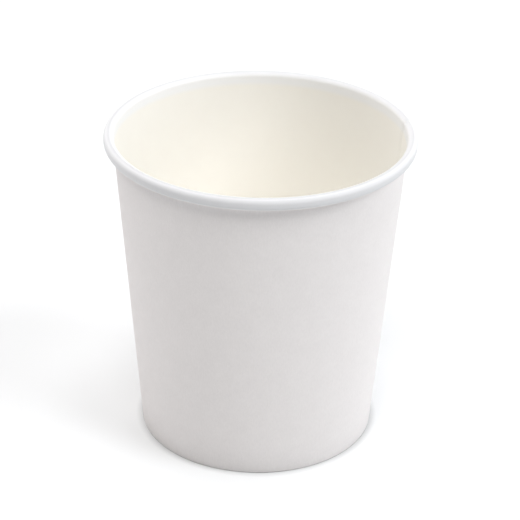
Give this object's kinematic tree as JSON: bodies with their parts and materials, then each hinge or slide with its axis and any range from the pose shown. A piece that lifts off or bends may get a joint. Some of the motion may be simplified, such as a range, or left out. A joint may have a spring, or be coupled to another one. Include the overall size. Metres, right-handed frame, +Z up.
{
  "type": "paper deli container",
  "caption": "Round tapered paper cup for deli food and soup, with a rolled rim, a lapped side seam and a recessed bottom.",
  "frame": {"origin": "centre of the circle that the cup stands on, in the plane of the table", "axes": "+Z up along the cup's axis, through the mouth; the side seam's inner edge stands 12 degrees round from +X"},
  "size_m": [0.098, 0.098, 0.1024],
  "materials": {
    "sidewall_board": "matte white paper outside, smooth cream coating inside, on the rim too",
    "bottom_board": "smooth cream coating above, matte white paper below"
  },
  "bodies": {
    "root": {"sidewall": "sidewall_board", "bottom_disc": "bottom_board"}
  },
  "joints": []
}
